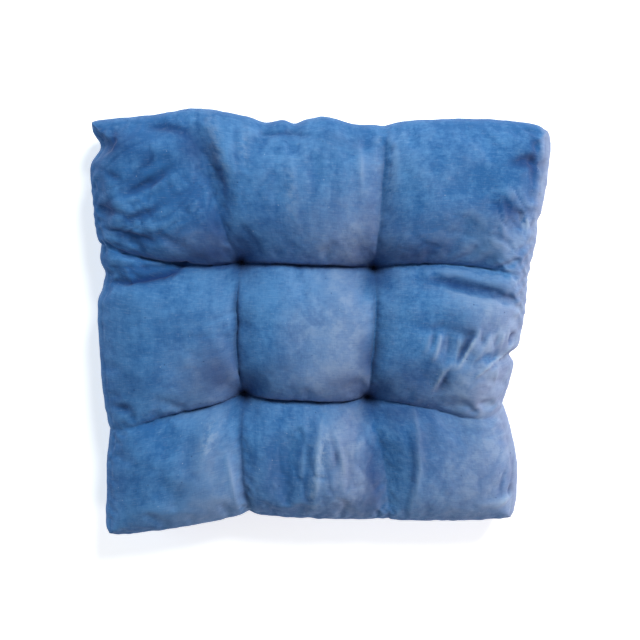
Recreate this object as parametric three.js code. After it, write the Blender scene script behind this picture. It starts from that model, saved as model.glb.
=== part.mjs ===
// A square chair cushion, drawn in at four tufts so that its face stands up in
// nine soft pads. Millimetres, +Z up: it lies on its back on the seat, +Y runs
// to its wide edge, and the origin is under the middle of its box.

import * as THREE from 'three';

// Heights above the seat
const CROWN = 75;
const FACE_SEAM = 53;
const GIRTH = 34;
const BASE_SEAM = 13;

// Width of a pad, and how far inside the widest line both seams run
const PAD = 128;
const SEAM_INSET = 7;

// Widths over which the face rises from its seam, and the underside sinks from its own,
// and how steep each is next to the seam
const SHOULDER = 50;
const SHOULDER_SHARPNESS = 1.12;
const HEEL = 22;
const HEEL_SHARPNESS = 1.1;

// How far the side band has turned level where it meets a seam, with 1 for fully level
const BAND_TURN = 0.55;

// Faces along one side of a pad, closer together towards its channels, and those of the
// side band between the widest line and a seam
const STEPS = 22;
const BAND_STEPS = 4;
const CROWDING = 0.5;

// Blue washed linen
const CLOTH = { color: 0x4a77ad, roughness: 0.95, metalness: 0 };

// Where the lines between the pads cross, from the left side to the right
const KNOTS = {
  near: [[-205, -205], [-67, -185], [65, -190], [184, -190]],
  lower: [[-198, -102], [-72, -70], [45, -74], [172, -78]],
  upper: [[-202, 72], [-73, 54], [50, 49], [193, 40]],
  far: [[-207, 183], [-108, 193], [60, 179], [210, 178]],
};
const GRID = [KNOTS.near, KNOTS.lower, KNOTS.upper, KNOTS.far];

// How far each stretch between two knots bows from straight, and where it bows most.
// A row bows to +Y and a column to +X, and the stretches run from -X and from -Y.
const ROW_BOWS = [
  [{ bow: -5, peak: 0.4 }, { bow: -3.5, peak: 0.45 }, { bow: -3, peak: 0.35 }],
  [{ bow: -0.5, peak: 0.6 }, { bow: -3.2, peak: 0.62 }, { bow: -11, peak: 0.78 }],
  [{ bow: -7.5, peak: 0.55 }, { bow: 1, peak: 0.5 }, { bow: 8.5, peak: 0.5 }],
  [{ bow: 0.5, peak: 0.5 }, { bow: -1.5, peak: 0.35 }, { bow: 6.5, peak: 0.45 }],
];
const COLUMN_BOWS = [
  [{ bow: -2, peak: 0.5 }, { bow: -7, peak: 0.45 }, { bow: -5.5, peak: 0.35 }],
  [{ bow: -2.5, peak: 0.5 }, { bow: -3.5, peak: 0.5 }, { bow: -5, peak: 0.45 }],
  [{ bow: 4, peak: 0.5 }, { bow: 2, peak: 0.5 }, { bow: 0.5, peak: 0.5 }],
  [{ bow: 8.5, peak: 0.5 }, { bow: 4, peak: 0.55 }, { bow: 4, peak: 0.6 }],
];

// How full a bow is at its ends
const BOW_FULLNESS = 2.4;

// Small lumps and notches of the widest line, each at a place along its side
const LUMPS = [
  { side: 'far', at: -112, width: 24, out: 3 },
  { side: 'far', at: -109, width: 8, out: -1.5 },
  { side: 'far', at: -50, width: 12, out: -5 },
  { side: 'far', at: -23, width: 7, out: -4 },
  { side: 'far', at: 5, width: 16, out: 4.5 },
  { side: 'left', at: 160, width: 11, out: -9 },
  { side: 'left', at: 44, width: 8, out: -6 },
  { side: 'left', at: 31, width: 8, out: -3.5 },
  { side: 'right', at: -31, width: 6, out: -7 },
  { side: 'right', at: 92, width: 10, out: -2 },
  { side: 'near', at: -67, width: 5, out: -2 },
];

// How far a lump reaches in from the widest line
const LUMP_FADE = 30;

// Radius of each corner of the widest line
const CORNERS = [
  { x: 0, y: 0, radius: 15 },
  { x: 3, y: 0, radius: 11 },
  { x: 3, y: 3, radius: 15 },
  { x: 0, y: 3, radius: 4 },
];

// Depth of the channels below the crowns and their sharpness for each stretch, how far
// they slope, and the length over which they run out at their ends. A sharper channel
// has steeper sides and a narrower floor.
const ROW_CHANNELS = [
  { line: 1, depths: [23, 34, 20], sharpness: [2.4, 2.5, 1.4], reach: 56, end: 66 },
  { line: 2, depths: [27, 36, 27], sharpness: [2.2, 2.1, 2.0], reach: 56, end: 46 },
];
const COLUMN_CHANNELS = [
  { line: 1, depths: [9, 19, 3], sharpness: [1.2, 2.6, 1], reach: 50, end: 26 },
  { line: 2, depths: [9, 16, 11], sharpness: [0.8, 1.8, 1.2], reach: 50, end: 26 },
];
const TUFT = { depth: 40, reach: 52, sharpness: 1.3 };

// The underside lies flat between the same lines, which are shallow there
const BASE_CHANNEL = { depth: 3.5, sharpness: 1, reach: 11, end: 26 };
const BASE_TUFT = { depth: 8, reach: 26, sharpness: 1 };

// How far each pad's crown stands off the common one, from the left to the right
const CROWN_LIFTS = [
  [-2, 0, -4],
  [-1, 0, -2],
  [-2, 0, -1],
];

// The main folds of the face: troughs where the height is negative, ridges where not
const FOLDS = [
  { from: [-186, 52], via: [-150, 49], to: [-114, 54], width: 7.5, height: -3 },
  { from: [-204, 41], via: [-160, 36], to: [-108, 57], width: 8, height: -5.5 },
  { from: [90, 43], via: [130, 36], to: [182, 20], width: 9, height: -6 },
  { from: [92, 51], via: [134, 45], to: [188, 31], width: 9, height: 3 },
  { from: [-87, 92], via: [-98, 152], to: [-116, 184], width: 12, height: -7.5 },
  { from: [-78, 126], via: [-81, 155], to: [-88, 182], width: 12, height: 3 },
  { from: [86, -76], via: [97, -112], to: [86, -182], width: 6, height: 1.5 },
  { from: [54, -95], via: [64, -135], to: [66, -180], width: 17, height: -4.5 },
  { from: [8, -92], via: [10, -130], to: [6, -176], width: 20, height: 3.5 },
  { from: [-38, -98], via: [-34, -130], to: [-28, -170], width: 18, height: -3.5 },
  { from: [-94, -88], via: [-104, -106], to: [-112, -146], width: 10, height: 1.8 },
  { from: [84, 3], via: [120, 2], to: [160, -6], width: 9, height: -1.6 },
  { from: [184, -15], via: [170, -34], to: [148, -52], width: 7, height: 2.2 },
];

// Straight pieces of one fold, the share left out at both of its ends, and how far from
// the widest line the folds run out
const FOLD_STEPS = 8;
const FOLD_TAPER = 0.12;
const FOLD_END = 26;

const clamp = (t) => Math.min(1, Math.max(0, t));
const mix = (a, b, t) => a + (b - a) * t;
const smooth = (t) => clamp(t) ** 2 * (3 - 2 * clamp(t));
const bell = (t) => Math.exp(-t * t);

// 1 on a line and 0 at its reach, steeper next to the line when it is sharp
const fall = (t, sharpness) => (t >= 1 ? 0 : 1 - (1 - (1 - t) ** 2) ** (1 / sharpness));

// Several depths that run into each other without a hard corner
const merge = (depths) => Math.hypot(...depths);

// The stretch of a line that holds t, and the place within that stretch
function stretchOf(t) {
  const index = Math.min(2, Math.floor(t));
  return { index, place: t - index };
}

// One value for each stretch, carried smoothly from the middle of one to the next
function carried(values, t) {
  const past = 2 * clamp((t - 0.5) / 2);
  const index = Math.min(1, Math.floor(past));
  return mix(values[index], values[index + 1], smooth(past - index));
}

// How much of a bow is reached at a place, with its peak off the middle
function bowShape(place, peak) {
  const shifted = place ** (Math.log(0.5) / Math.log(peak));
  return 1 - Math.abs(2 * shifted - 1) ** BOW_FULLNESS;
}

function onRow(row, u) {
  const { index, place } = stretchOf(u);
  const [start, end] = [GRID[row][index], GRID[row][index + 1]];
  const { bow, peak } = ROW_BOWS[row][index];
  return [mix(start[0], end[0], place), mix(start[1], end[1], place) + bow * bowShape(place, peak)];
}

function onColumn(column, v) {
  const { index, place } = stretchOf(v);
  const [start, end] = [GRID[index][column], GRID[index + 1][column]];
  const { bow, peak } = COLUMN_BOWS[column][index];
  return [mix(start[0], end[0], place) + bow * bowShape(place, peak), mix(start[1], end[1], place)];
}

// A pad is stretched between the two rows and the two columns round it
function onPad(u, v, axis) {
  const { index: i, place: s } = stretchOf(u);
  const { index: j, place: t } = stretchOf(v);
  const rows = mix(onRow(j, u)[axis], onRow(j + 1, u)[axis], t);
  const columns = mix(onColumn(i, v)[axis], onColumn(i + 1, v)[axis], s);
  const low = mix(GRID[j][i][axis], GRID[j][i + 1][axis], s);
  const high = mix(GRID[j + 1][i][axis], GRID[j + 1][i + 1][axis], s);
  return rows + columns - mix(low, high, t);
}

// How far a point is inside each side of the widest line, on a pad of the usual width
function insetsOf(u, v) {
  return { left: u * PAD, right: (3 - u) * PAD, near: v * PAD, far: (3 - v) * PAD };
}

// The nearest side counts most, and two near sides make a round corner
const CORNER_POWER = 3;
function joinedInset(insets) {
  const past = Object.values(insets).map((inset) => Math.max(0, inset - SEAM_INSET));
  if (past.includes(0)) return 0;
  return past.reduce((sum, inset) => sum + inset ** -CORNER_POWER, 0) ** (-1 / CORNER_POWER);
}

// Shift of a point by the lumps of its side, fading towards the middle of the cushion
function lumpShift(x, y, insets) {
  const shift = [0, 0];
  for (const { side, at, width, out } of LUMPS) {
    const across = side === 'left' || side === 'right';
    const sign = side === 'left' || side === 'near' ? -1 : 1;
    const amount = sign * out * bell(((across ? y : x) - at) / width);
    shift[across ? 0 : 1] += amount * bell(insets[side] / LUMP_FADE);
  }
  return shift;
}

// Shift that turns a square corner of the widest line into a round one
function cornerShift(insets) {
  const shift = [0, 0];
  for (const { x, y, radius } of CORNERS) {
    const across = 1 - (x ? insets.right : insets.left) / radius;
    const along = 1 - (y ? insets.far : insets.near) / radius;
    if (across <= 0 || along <= 0) continue;
    shift[0] += (x ? 1 : -1) * radius * across * (Math.sqrt(1 - along ** 2 / 2) - 1);
    shift[1] += (y ? 1 : -1) * radius * along * (Math.sqrt(1 - across ** 2 / 2) - 1);
  }
  return shift;
}

// Places along each fold, worked out once
const foldPaths = FOLDS.map(({ from, via, to, width, height }) => {
  const curve = new THREE.QuadraticBezierCurve(
    new THREE.Vector2(...from), new THREE.Vector2(...via), new THREE.Vector2(...to));
  return { points: curve.getPoints(FOLD_STEPS), width, height };
});

// Distance from a point to a fold, and how far along the fold it is
function nearFold(points, x, y) {
  let best = { distance: Infinity, along: 0 };
  for (let k = 0; k + 1 < points.length; k++) {
    const [a, b] = [points[k], points[k + 1]];
    const [dx, dy] = [b.x - a.x, b.y - a.y];
    const place = clamp(((x - a.x) * dx + (y - a.y) * dy) / (dx * dx + dy * dy));
    const distance = Math.hypot(x - a.x - dx * place, y - a.y - dy * place);
    if (distance < best.distance) best = { distance, along: (k + place) / (points.length - 1) };
  }
  return best;
}

function foldHeight(x, y) {
  let height = 0;
  for (const fold of foldPaths) {
    const { distance, along } = nearFold(fold.points, x, y);
    const taper = Math.sin(Math.PI * mix(FOLD_TAPER, 1 - FOLD_TAPER, along));
    height += fold.height * bell(distance / fold.width) * taper;
  }
  return height;
}

// Depths that the channels and tufts cut at a point, with one rule for both faces
function channelDepths(x, y, u, v, insets, rows, columns, tuft) {
  const depths = [];
  for (const { line, depths: along, sharpness, reach, end } of rows) {
    const away = Math.abs(y - onRow(line, u)[1]) / reach;
    const open = smooth(Math.min(insets.left, insets.right) / end);
    depths.push(carried(along, u) * fall(away, carried(sharpness, u)) * open);
  }
  for (const { line, depths: along, sharpness, reach, end } of columns) {
    const away = Math.abs(x - onColumn(line, v)[0]) / reach;
    const open = smooth(Math.min(insets.near, insets.far) / end);
    depths.push(carried(along, v) * fall(away, carried(sharpness, v)) * open);
  }
  for (const row of [1, 2]) {
    for (const column of [1, 2]) {
      const [cx, cy] = GRID[row][column];
      depths.push(tuft.depth * fall(Math.hypot(x - cx, y - cy) / tuft.reach, tuft.sharpness));
    }
  }
  return depths;
}

// Height of the side band, from 0 at the widest line to 1 at a seam
const bandRise = (t) => Math.sqrt((1 - (1 - BAND_TURN * t) ** 2) / (1 - (1 - BAND_TURN) ** 2));

function faceHeight(x, y, u, v, insets) {
  const lifts = CROWN_LIFTS.map((row) => carried(row, u));
  const crown = CROWN + carried(lifts, v);
  const nearest = Math.min(...Object.values(insets));
  const edge = nearest < SEAM_INSET
    ? crown - mix(GIRTH, FACE_SEAM, bandRise(nearest / SEAM_INSET))
    : (crown - FACE_SEAM) * fall(joinedInset(insets) / SHOULDER, SHOULDER_SHARPNESS);
  const depths = channelDepths(x, y, u, v, insets, ROW_CHANNELS, COLUMN_CHANNELS, TUFT);
  return crown - merge([edge, ...depths]) + foldHeight(x, y) * smooth(nearest / FOLD_END);
}

const BASE_LINES = [1, 2].map((line) => {
  const { depth, sharpness, ...rest } = BASE_CHANNEL;
  return { line, depths: Array(3).fill(depth), sharpness: Array(3).fill(sharpness), ...rest };
});

function baseHeight(x, y, u, v, insets) {
  const nearest = Math.min(...Object.values(insets));
  const edge = nearest < SEAM_INSET
    ? mix(GIRTH, BASE_SEAM, bandRise(nearest / SEAM_INSET))
    : BASE_SEAM * fall(joinedInset(insets) / HEEL, HEEL_SHARPNESS);
  return merge([edge, ...channelDepths(x, y, u, v, insets, BASE_LINES, BASE_LINES, BASE_TUFT)]);
}

// Places from one line up to another, crowded towards both
function spread(from, to, steps) {
  return Array.from({ length: steps }, (_, k) => {
    const even = k / steps;
    return mix(from, to, mix(even, (1 - Math.cos(Math.PI * even)) / 2, CROWDING));
  });
}

// Lines of the mesh in one direction, with one along each seam and each channel
const SEAM_PLACE = SEAM_INSET / PAD;
const lines = [
  ...spread(0, SEAM_PLACE, BAND_STEPS),
  ...spread(SEAM_PLACE, 1, STEPS - BAND_STEPS),
  ...spread(1, 2, STEPS),
  ...spread(2, 3 - SEAM_PLACE, STEPS - BAND_STEPS),
  ...spread(3 - SEAM_PLACE, 3, BAND_STEPS),
  3,
];
const LAST = lines.length - 1;

function surfacePoint(u, v, heightOf) {
  const [x, y] = [onPad(u, v, 0), onPad(u, v, 1)];
  const insets = insetsOf(u, v);
  const z = heightOf(x, y, u, v, insets);
  const lump = lumpShift(x, y, insets);
  const corner = cornerShift(insets);
  return [x + lump[0] + corner[0], y + lump[1] + corner[1], z];
}

// The underside has half as many lines and shares the points of the widest line
function makeCushion() {
  const positions = [];
  const indices = [];
  const faceIds = new Map();
  const baseIds = new Map();
  const onRim = (i, j) => i === 0 || j === 0 || i === LAST || j === LAST;

  const pointId = (i, j, ids, heightOf) => {
    const key = i * lines.length + j;
    if (!ids.has(key)) {
      ids.set(key, positions.length / 3);
      positions.push(...surfacePoint(lines[i], lines[j], heightOf));
    }
    return ids.get(key);
  };
  const faceId = (i, j) => pointId(i, j, faceIds, faceHeight);
  const baseId = (i, j) => (onRim(i, j) ? faceId(i, j) : pointId(i, j, baseIds, baseHeight));

  for (let i = 0; i < LAST; i++) {
    for (let j = 0; j < LAST; j++) {
      const [a, b, c, d] = [faceId(i, j), faceId(i + 1, j), faceId(i + 1, j + 1), faceId(i, j + 1)];
      const rising = (i % STEPS < STEPS / 2) === (j % STEPS < STEPS / 2);
      indices.push(...(rising ? [a, b, c, a, c, d] : [a, b, d, b, c, d]));
    }
  }

  for (let i = 0; i < LAST; i += 2) {
    for (let j = 0; j < LAST; j += 2) {
      const loop = [[i, j], [i, j + 2], [i + 2, j + 2], [i + 2, j]];
      const ring = [];
      loop.forEach((corner, k) => {
        const next = loop[(k + 1) % loop.length];
        const middle = [(corner[0] + next[0]) / 2, (corner[1] + next[1]) / 2];
        ring.push(corner);
        if (onRim(...middle)) ring.push(middle);
      });
      const first = ring.findIndex(([p, q]) => !onRim(p, q));
      const fan = ring.map((_, k) => ring[(first + k) % ring.length]);
      for (let k = 1; k + 1 < fan.length; k++) {
        indices.push(baseId(...fan[0]), baseId(...fan[k]), baseId(...fan[k + 1]));
      }
    }
  }

  const geometry = new THREE.BufferGeometry();
  geometry.setAttribute('position', new THREE.Float32BufferAttribute(positions, 3));
  geometry.setIndex(indices);
  geometry.computeBoundingBox();
  const { min, max } = geometry.boundingBox;
  geometry.translate(-(min.x + max.x) / 2, -(min.y + max.y) / 2, -min.z);
  geometry.computeVertexNormals();
  const cushion = new THREE.Mesh(geometry, new THREE.MeshStandardMaterial(CLOTH));
  cushion.name = 'tufted_cushion';
  return cushion;
}

const group = new THREE.Group();
group.add(makeCushion());

export default group;
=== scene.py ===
"""A tufted chair cushion in washed blue linen, lying on a pale floor under soft light.

The cushion is one closed cover. Its shape is worked out in millimetres from the lines
between its pads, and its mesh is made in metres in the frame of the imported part.
"""

import math

import bpy
import numpy as np
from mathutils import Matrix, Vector


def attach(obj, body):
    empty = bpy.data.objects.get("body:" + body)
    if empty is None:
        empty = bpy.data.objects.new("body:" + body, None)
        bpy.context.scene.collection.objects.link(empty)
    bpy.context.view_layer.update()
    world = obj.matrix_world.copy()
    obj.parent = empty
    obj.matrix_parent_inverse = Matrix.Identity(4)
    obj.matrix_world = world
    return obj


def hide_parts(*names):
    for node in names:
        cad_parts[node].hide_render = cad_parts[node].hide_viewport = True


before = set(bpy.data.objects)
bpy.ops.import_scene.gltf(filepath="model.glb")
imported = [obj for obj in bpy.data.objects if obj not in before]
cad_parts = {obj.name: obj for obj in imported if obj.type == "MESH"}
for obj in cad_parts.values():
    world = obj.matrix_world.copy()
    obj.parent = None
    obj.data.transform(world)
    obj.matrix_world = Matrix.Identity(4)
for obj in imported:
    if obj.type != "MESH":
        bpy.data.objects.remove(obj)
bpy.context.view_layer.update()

NODE = "tufted_cushion"
MM = 0.001

# Heights above the surface that the cushion lies on
CROWN = 75.0
FACE_SEAM = 53.0
GIRTH = 34.0
BASE_SEAM = 13.0

# Width of a pad, and how far inside the widest line both seams run
PAD = 128.0
SEAM_INSET = 7.0

# Widths over which the face rises from its seam, and the underside sinks from its own,
# and how steep each is next to the seam
SHOULDER = 50.0
SHOULDER_SHARPNESS = 1.12
HEEL = 22.0
HEEL_SHARPNESS = 1.1

# How far the side band has turned level where it meets a seam, with 1 for fully level
BAND_TURN = 0.55

# Lines of the fine mesh across one pad and across the side band, and how much closer
# together they are next to a channel or a seam
STEPS = 88
BAND_STEPS = 10
CROWDING = 0.35

# Where the lines between the pads cross, from the left side to the right
GRID = np.array([
    [[-205, -205], [-67, -185], [65, -190], [184, -190]],
    [[-198, -102], [-72, -70], [45, -74], [172, -78]],
    [[-202, 72], [-73, 54], [50, 49], [193, 40]],
    [[-207, 183], [-108, 193], [60, 179], [210, 178]],
], float)
TUFT_PLACES = GRID[1:3, 1:3].reshape(-1, 2)

# Bow and place of the bow's peak for each stretch between two knots
ROW_BOWS = [
    [(-5, 0.4), (-3.5, 0.45), (-3, 0.35)],
    [(-0.5, 0.6), (-3.2, 0.62), (-11, 0.78)],
    [(-7.5, 0.55), (1, 0.5), (8.5, 0.5)],
    [(0.5, 0.5), (-1.5, 0.35), (6.5, 0.45)],
]
COLUMN_BOWS = [
    [(-2, 0.5), (-7, 0.45), (-5.5, 0.35)],
    [(-2.5, 0.5), (-3.5, 0.5), (-5, 0.45)],
    [(4, 0.5), (2, 0.5), (0.5, 0.5)],
    [(8.5, 0.5), (4, 0.55), (4, 0.6)],
]

# How full a bow is towards its ends, with 2 for a parabola
BOW_FULLNESS = 2.4

# Lumps and notches of the widest line: side, place along it, width and how far out
LUMPS = [
    ("far", -112, 24, 3),
    ("far", -109, 8, -1.5),
    ("far", -50, 12, -5),
    ("far", -23, 7, -4),
    ("far", 5, 16, 4.5),
    ("left", 160, 11, -9),
    ("left", 44, 8, -6),
    ("left", 31, 8, -3.5),
    ("right", -31, 6, -7),
    ("right", 92, 10, -2),
    ("near", -67, 5, -2),
]

# How far in from the widest line a lump reaches
LUMP_FADE = 30.0

# Radius of each corner of the widest line: right side or left, far side or near
CORNERS = [
    (False, False, 15),
    (True, False, 11),
    (True, True, 15),
    (False, True, 4),
]

# Channels: line, depth and sharpness for each stretch, reach, and length over which they end
ROW_CHANNELS = [
    (1, (23, 34, 20), (2.4, 2.5, 1.4), 56, 66),
    (2, (27, 36, 27), (2.2, 2.1, 2.0), 56, 46),
]
COLUMN_CHANNELS = [
    (1, (9, 19, 3), (1.2, 2.6, 1), 50, 26),
    (2, (9, 16, 11), (0.8, 1.8, 1.2), 50, 26),
]

# Depth, reach and sharpness of the pit round each tuft
TUFT = (40, 52, 1.3)

# The same for the underside
BASE_CHANNELS = [(line, (3.5, 3.5, 3.5), (1, 1, 1), 11, 26) for line in (1, 2)]
BASE_TUFT = (8, 26, 1)

# How far channels stray from their lines, over which length, and the seed for each
WANDER = [(1.0, 18, 41), (0.3, 6, 43)]

# How much higher each pad's crown is, from the near row to the far one
CROWN_LIFTS = [
    (-2, 0, -4),
    (-1, 0, -2),
    (-2, 0, -1),
]

# Main folds: places from, via and to, width and height, with troughs negative
FOLDS = [
    (-186, 52, -150, 49, -114, 54, 7.5, -3),
    (-204, 41, -160, 36, -108, 57, 8, -5.5),
    (90, 43, 130, 36, 182, 20, 9, -6),
    (92, 51, 134, 45, 188, 31, 9, 3),
    (-87, 92, -98, 152, -116, 184, 12, -7.5),
    (-78, 126, -81, 155, -88, 182, 12, 3),
    (86, -76, 97, -112, 86, -182, 6, 1.5),
    (54, -95, 64, -135, 66, -180, 17, -4.5),
    (8, -92, 10, -130, 6, -176, 20, 3.5),
    (-38, -98, -34, -130, -28, -170, 18, -3.5),
    (-94, -88, -104, -106, -112, -146, 10, 1.8),
    (84, 3, 120, 2, 160, -6, 9, -1.6),
    (184, -15, 170, -34, 148, -52, 7, 2.2),
]

# Straight steps along a fold, share of its taper left out at both ends, and how far in
# from the edge a main fold has its full height
FOLD_STEPS = 8
FOLD_TAPER = 0.12
FOLD_END = 26.0


def clamp(t):
    return np.clip(t, 0.0, 1.0)


def mix(a, b, t):
    return a + (b - a) * t


def smooth(t):
    t = clamp(t)
    return t * t * (3 - 2 * t)


def bell(t):
    return np.exp(-t * t)


def sharp_bell(t):
    """Like a bell, but with a crest as narrow as a pinched fold."""
    return np.exp(-np.abs(t) ** 1.3 * 1.2)


def fall(t, sharpness):
    """1 on a line and 0 at its reach, steeper next to the line when it is sharp."""
    t = clamp(t)
    return 1 - (1 - (1 - t) ** 2) ** (1 / sharpness)


def merge(depths):
    """Depths that run smoothly into each other."""
    return np.sqrt(sum(depth**2 for depth in depths))


def stretch_of(t):
    index = np.minimum(2, np.floor(t).astype(int))
    return index, t - index


def between_middles(t):
    """The stretch whose middle was passed last, and the share of the way to the next one."""
    past = 2 * clamp((t - 0.5) / 2)
    index = np.minimum(1, np.floor(past).astype(int))
    return index, smooth(past - index)


def carried(values, t):
    """One value for each stretch, carried smoothly from the middle of one to the next."""
    index, share = between_middles(t)
    values = np.asarray(values, float)
    return mix(values[index], values[index + 1], share)


def bow_at(bows, t):
    """How far a line is bowed out between its knots."""
    index, place = stretch_of(t)
    bow, peak = (np.array(column)[index] for column in zip(*bows))
    shifted = place ** (math.log(0.5) / np.log(peak))
    return bow * (1 - np.abs(2 * shifted - 1) ** BOW_FULLNESS)


def on_line(knots, t):
    index, place = stretch_of(t)
    return [mix(knots[index, axis], knots[index + 1, axis], place) for axis in (0, 1)]


def on_row(row, u):
    x, y = on_line(GRID[row], u)
    return x, y + bow_at(ROW_BOWS[row], u)


def on_column(column, v):
    x, y = on_line(GRID[:, column], v)
    return x + bow_at(COLUMN_BOWS[column], v), y


def pick(curves, index):
    """Values of the curve that index names at each point."""
    return np.choose(index, [np.broadcast_to(curve, index.shape) for curve in curves])


def on_pad(u, v, axis):
    """A pad is stretched between the two rows and the two columns round it."""
    i, s = stretch_of(u)
    j, t = stretch_of(v)
    rows = [on_row(k, u)[axis] for k in range(4)]
    columns = [on_column(k, v)[axis] for k in range(4)]
    across = mix(pick(rows, j), pick(rows, j + 1), t)
    along = mix(pick(columns, i), pick(columns, i + 1), s)
    low = mix(GRID[j, i, axis], GRID[j, i + 1, axis], s)
    high = mix(GRID[j + 1, i, axis], GRID[j + 1, i + 1, axis], s)
    return across + along - mix(low, high, t)


def insets_of(u, v):
    return {"left": u * PAD, "right": (3 - u) * PAD, "near": v * PAD, "far": (3 - v) * PAD}


def nearest_inset(insets):
    return np.minimum.reduce(list(insets.values()))


def inset_pairs(insets):
    """Distance from the left or right, and from the near or far side."""
    return np.minimum(insets["left"], insets["right"]), np.minimum(insets["near"], insets["far"])


def joined_inset(insets):
    """Distance past the seam, rounded off where two sides are near."""
    past = [np.maximum(1e-6, inset - SEAM_INSET) for inset in insets.values()]
    return sum(inset**-3 for inset in past) ** (-1 / 3)


def lump_shift(x, y, insets):
    """How far lumps and notches move each point."""
    shift = [np.zeros_like(x), np.zeros_like(x)]
    for side, at, width, out in LUMPS:
        across = side in ("left", "right")
        sign = -1 if side in ("left", "near") else 1
        amount = sign * out * bell(((y if across else x) - at) / width)
        shift[0 if across else 1] += amount * bell(insets[side] / LUMP_FADE)
    return shift


def corner_shift(insets):
    """How far each point moves to round the corners off."""
    shift = [np.zeros_like(insets["left"]), np.zeros_like(insets["left"])]
    for right, far, radius in CORNERS:
        across = clamp(1 - insets["right" if right else "left"] / radius)
        along = clamp(1 - insets["far" if far else "near"] / radius)
        shift[0] += (1 if right else -1) * radius * across * (np.sqrt(1 - along**2 / 2) - 1)
        shift[1] += (1 if far else -1) * radius * along * (np.sqrt(1 - across**2 / 2) - 1)
    return shift


def near_fold(points, x, y):
    """Distance from each place to a fold, and how far along the fold it is."""
    nearest = np.full(x.shape, np.inf)
    along = np.zeros_like(x)
    for k in range(len(points) - 1):
        a, b = points[k], points[k + 1]
        step = b - a
        place = clamp(((x - a[0]) * step[0] + (y - a[1]) * step[1]) / (step @ step))
        distance = np.hypot(x - a[0] - step[0] * place, y - a[1] - step[1] * place)
        closer = distance < nearest
        nearest = np.where(closer, distance, nearest)
        along = np.where(closer, (k + place) / (len(points) - 1), along)
    return nearest, along


def fold_height(folds, x, y, profile=bell):
    """Height of curved folds, each tapered at both ends."""
    height = np.zeros_like(x)
    t = np.linspace(0, 1, FOLD_STEPS + 1)[:, None]
    for *route, width, tall in folds:
        start, via, end = np.array(route, float).reshape(3, 2)
        points = (1 - t) ** 2 * start + 2 * t * (1 - t) * via + t**2 * end
        distance, along = near_fold(points, x, y)
        taper = np.sin(math.pi * mix(FOLD_TAPER, 1 - FOLD_TAPER, along))
        height += tall * profile(distance / width) * taper
    return height


def noise(x, y, seed):
    """Smooth noise from -1 to 1 that changes over one unit."""
    table = np.random.default_rng(seed).uniform(-1, 1, (64, 64))
    column, row = np.floor(x).astype(int), np.floor(y).astype(int)
    s, t = smooth(x - column), smooth(y - row)
    corner = [table[(column + i) % 64, (row + j) % 64] for j in (0, 1) for i in (0, 1)]
    return mix(mix(corner[0], corner[1], s), mix(corner[2], corner[3], s), t)


def layered(x, y, seed, layers=3):
    return sum(noise(x * 2**k, y * 2**k, seed + k) * 0.5**k for k in range(layers))


def wander(line, along):
    """How far a channel strays to one side. Each line has a row of the noise to itself."""
    return sum(far * noise(along / length, line + 0.3, seed) for far, length, seed in WANDER)


def row_away(line, x, y, u):
    return y - on_row(line, u)[1] - wander(line, x)


def column_away(line, x, y, v):
    return x - on_column(line, v)[0] - wander(line + 2, y)


def channel_depth(channel, t, away, from_ends):
    """Depth of a channel at places away from its line."""
    _, deep, sharp, reach, end = channel
    slope = fall(np.abs(away) / reach, carried(sharp, t))
    return carried(deep, t) * slope * smooth(from_ends / end)


def channel_depths(x, y, u, v, insets, rows, columns, tuft):
    """Depths of the channels and of the pits round the tufts."""
    from_sides, from_edges = inset_pairs(insets)
    depths = [channel_depth(row, u, row_away(row[0], x, y, u), from_sides) for row in rows]
    for column in columns:
        depths.append(channel_depth(column, v, column_away(column[0], x, y, v), from_edges))
    deep, reach, sharpness = tuft
    for cx, cy in TUFT_PLACES:
        depths.append(deep * fall(np.hypot(x - cx, y - cy) / reach, sharpness))
    return depths


def band_rise(t):
    """Height of the band, from 0 at its widest line to 1 at a seam where it still climbs."""
    return np.sqrt(1 - (1 - BAND_TURN * clamp(t)) ** 2) / math.sqrt(1 - (1 - BAND_TURN) ** 2)


def face_height(x, y, u, v, insets):
    lifts = [carried(row, u) for row in CROWN_LIFTS]
    index, share = between_middles(v)
    crown = CROWN + mix(pick(lifts, index), pick(lifts, index + 1), share)
    nearest = nearest_inset(insets)
    band = crown - mix(GIRTH, FACE_SEAM, band_rise(nearest / SEAM_INSET))
    slope = (crown - FACE_SEAM) * fall(joined_inset(insets) / SHOULDER, SHOULDER_SHARPNESS)
    edge = np.where(nearest < SEAM_INSET, band, slope)
    depths = channel_depths(x, y, u, v, insets, ROW_CHANNELS, COLUMN_CHANNELS, TUFT)
    folds = fold_height(FOLDS, x, y) * smooth(nearest / FOLD_END)
    return crown - merge([edge, *depths]) + folds


def base_height(x, y, u, v, insets):
    nearest = nearest_inset(insets)
    band = mix(GIRTH, BASE_SEAM, band_rise(nearest / SEAM_INSET))
    slope = BASE_SEAM * fall(joined_inset(insets) / HEEL, HEEL_SHARPNESS)
    edge = np.where(nearest < SEAM_INSET, band, slope)
    depths = channel_depths(x, y, u, v, insets, BASE_CHANNELS, BASE_CHANNELS, BASE_TUFT)
    return merge([edge, *depths])


def spread(start, end, steps):
    """Lines from start up to end, a little closer together at both."""
    even = np.arange(steps) / steps
    return mix(start, end, mix(even, (1 - np.cos(math.pi * even)) / 2, CROWDING))


def lines_of(steps, band_steps):
    """Lines of a mesh in one direction, with one along each seam and each channel."""
    seam = SEAM_INSET / PAD
    return np.concatenate([
        spread(0, seam, band_steps),
        spread(seam, 1, steps - band_steps),
        spread(1, 2, steps),
        spread(2, 3 - seam, steps - band_steps),
        spread(3 - seam, 3, band_steps),
        [3.0],
    ])


def places_of(lines):
    """Where each point of a mesh is in the plan, by pads and inside the sides."""
    u, v = np.meshgrid(lines, lines, indexing="ij")
    return on_pad(u, v, 0), on_pad(u, v, 1), u, v, insets_of(u, v)


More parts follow.
